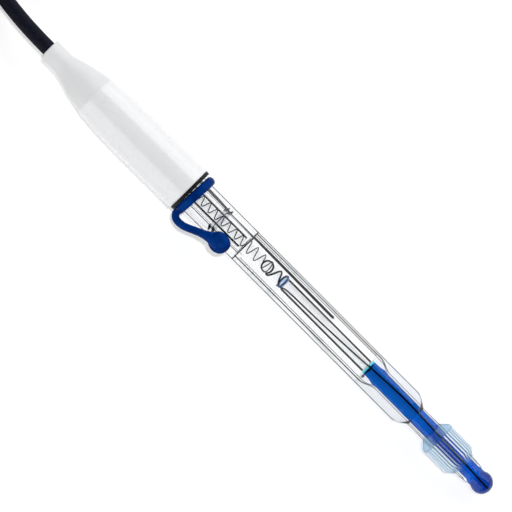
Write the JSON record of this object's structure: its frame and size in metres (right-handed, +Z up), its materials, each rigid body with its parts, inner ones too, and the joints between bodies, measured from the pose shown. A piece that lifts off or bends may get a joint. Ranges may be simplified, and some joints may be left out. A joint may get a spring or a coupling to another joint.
{
  "type": "ph electrode",
  "caption": "Refillable glass pH electrode lying flat: white cap, strain relief and cable, coaxial tubes with blue gel, rubber filling closure, ribbed junction sleeve and glass bulb.",
  "frame": {"origin": "bottom centre of the box of the electrode as it lies, without its cable and plug, on the surface that it rests on", "axes": "+X from the cap to the glass bulb along the surface, +Z up. The electrode's own axis lies 1.13 degrees nose down, because it rests on the cap's rim and on the sleeve"},
  "size_m": [0.3351, 0.0471, 0.017],
  "materials": {
    "cap_white": "smooth gloss moulding",
    "boot_white": "fine matte moulding",
    "black_rubber": "satin",
    "potting": "cast",
    "terminal_brass": "turned",
    "cable_black": "satin PVC jacket",
    "braid": "tinned wire",
    "core_white": "extruded",
    "copper_wire": "bright drawn",
    "clear_glass": "polished",
    "bulb_glass": "blown",
    "gel_blue": "clear coloured gel",
    "electrolyte": "clear liquid",
    "silver_wire": "drawn silver",
    "spring_wire": "drawn",
    "collar_blue": "satin",
    "seal_clear": "moulded silicone",
    "closure_blue": "matte silicone",
    "sleeve_blue": "translucent moulding",
    "plug_metal": "bright nickel plate",
    "pin_gold": "gold plate",
    "plug_insulator_white": "turned PTFE",
    "tie_black": "satin"
  },
  "bodies": {
    "electrode": {"strain_relief_boot": "boot_white", "cap_barrel": "cap_white", "cap_gasket": "black_rubber", "potting_resin": "potting", "top_bung": "black_rubber", "spring_terminal": "terminal_brass", "cable_jacket_end": "cable_black", "screen_braid": "braid", "crimp_ferrule": "braid", "core_insulation": "core_white", "core_conductor": "copper_wire", "outer_shaft": "clear_glass", "ph_tube": "clear_glass", "sensing_bulb": "bulb_glass", "inner_gel": "gel_blue", "reference_electrolyte": "electrolyte", "reference_wire": "silver_wire", "element_wire": "silver_wire", "contact_spring": "spring_wire", "guide_tube": "clear_glass", "cartridge_tube": "clear_glass", "cartridge_collar": "collar_blue", "seal_ring": "seal_clear", "closure_ring": "closure_blue", "cable_run": "cable_black", "cable_hank": "cable_black", "cable_tail": "cable_black", "hank_ties": "tie_black", "plug_body": "plug_metal", "plug_spring_washer": "braid", "plug_gasket": "black_rubber", "plug_pin": "pin_gold", "plug_insulator": "plug_insulator_white", "plug_core": "core_white", "plug_cable": "cable_black", "plug_crimp": "braid", "plug_boot": "black_rubber"},
    "sleeve": {"junction_sleeve": "sleeve_blue"},
    "stopper": {"closure_stopper": "closure_blue"},
    "nut": {"plug_coupling_nut": "plug_metal"}
  },
  "joints": [
    {"name": "sleeve_slide", "type": "slide", "parent": "electrode", "child": "sleeve", "axis": [-0.9998, 0, 0.0198], "range_m": [0, 0.007]},
    {"name": "stopper_pull", "type": "slide", "parent": "electrode", "child": "stopper", "axis": [0.0147, -0.6691, 0.743], "range_m": [0, 0.008]},
    {"name": "nut_turn", "type": "hinge", "parent": "electrode", "child": "nut", "pos_m": [-0.13275, -0.01399, 0.00725], "axis": [1, 0, 0], "continuous": true}
  ]
}
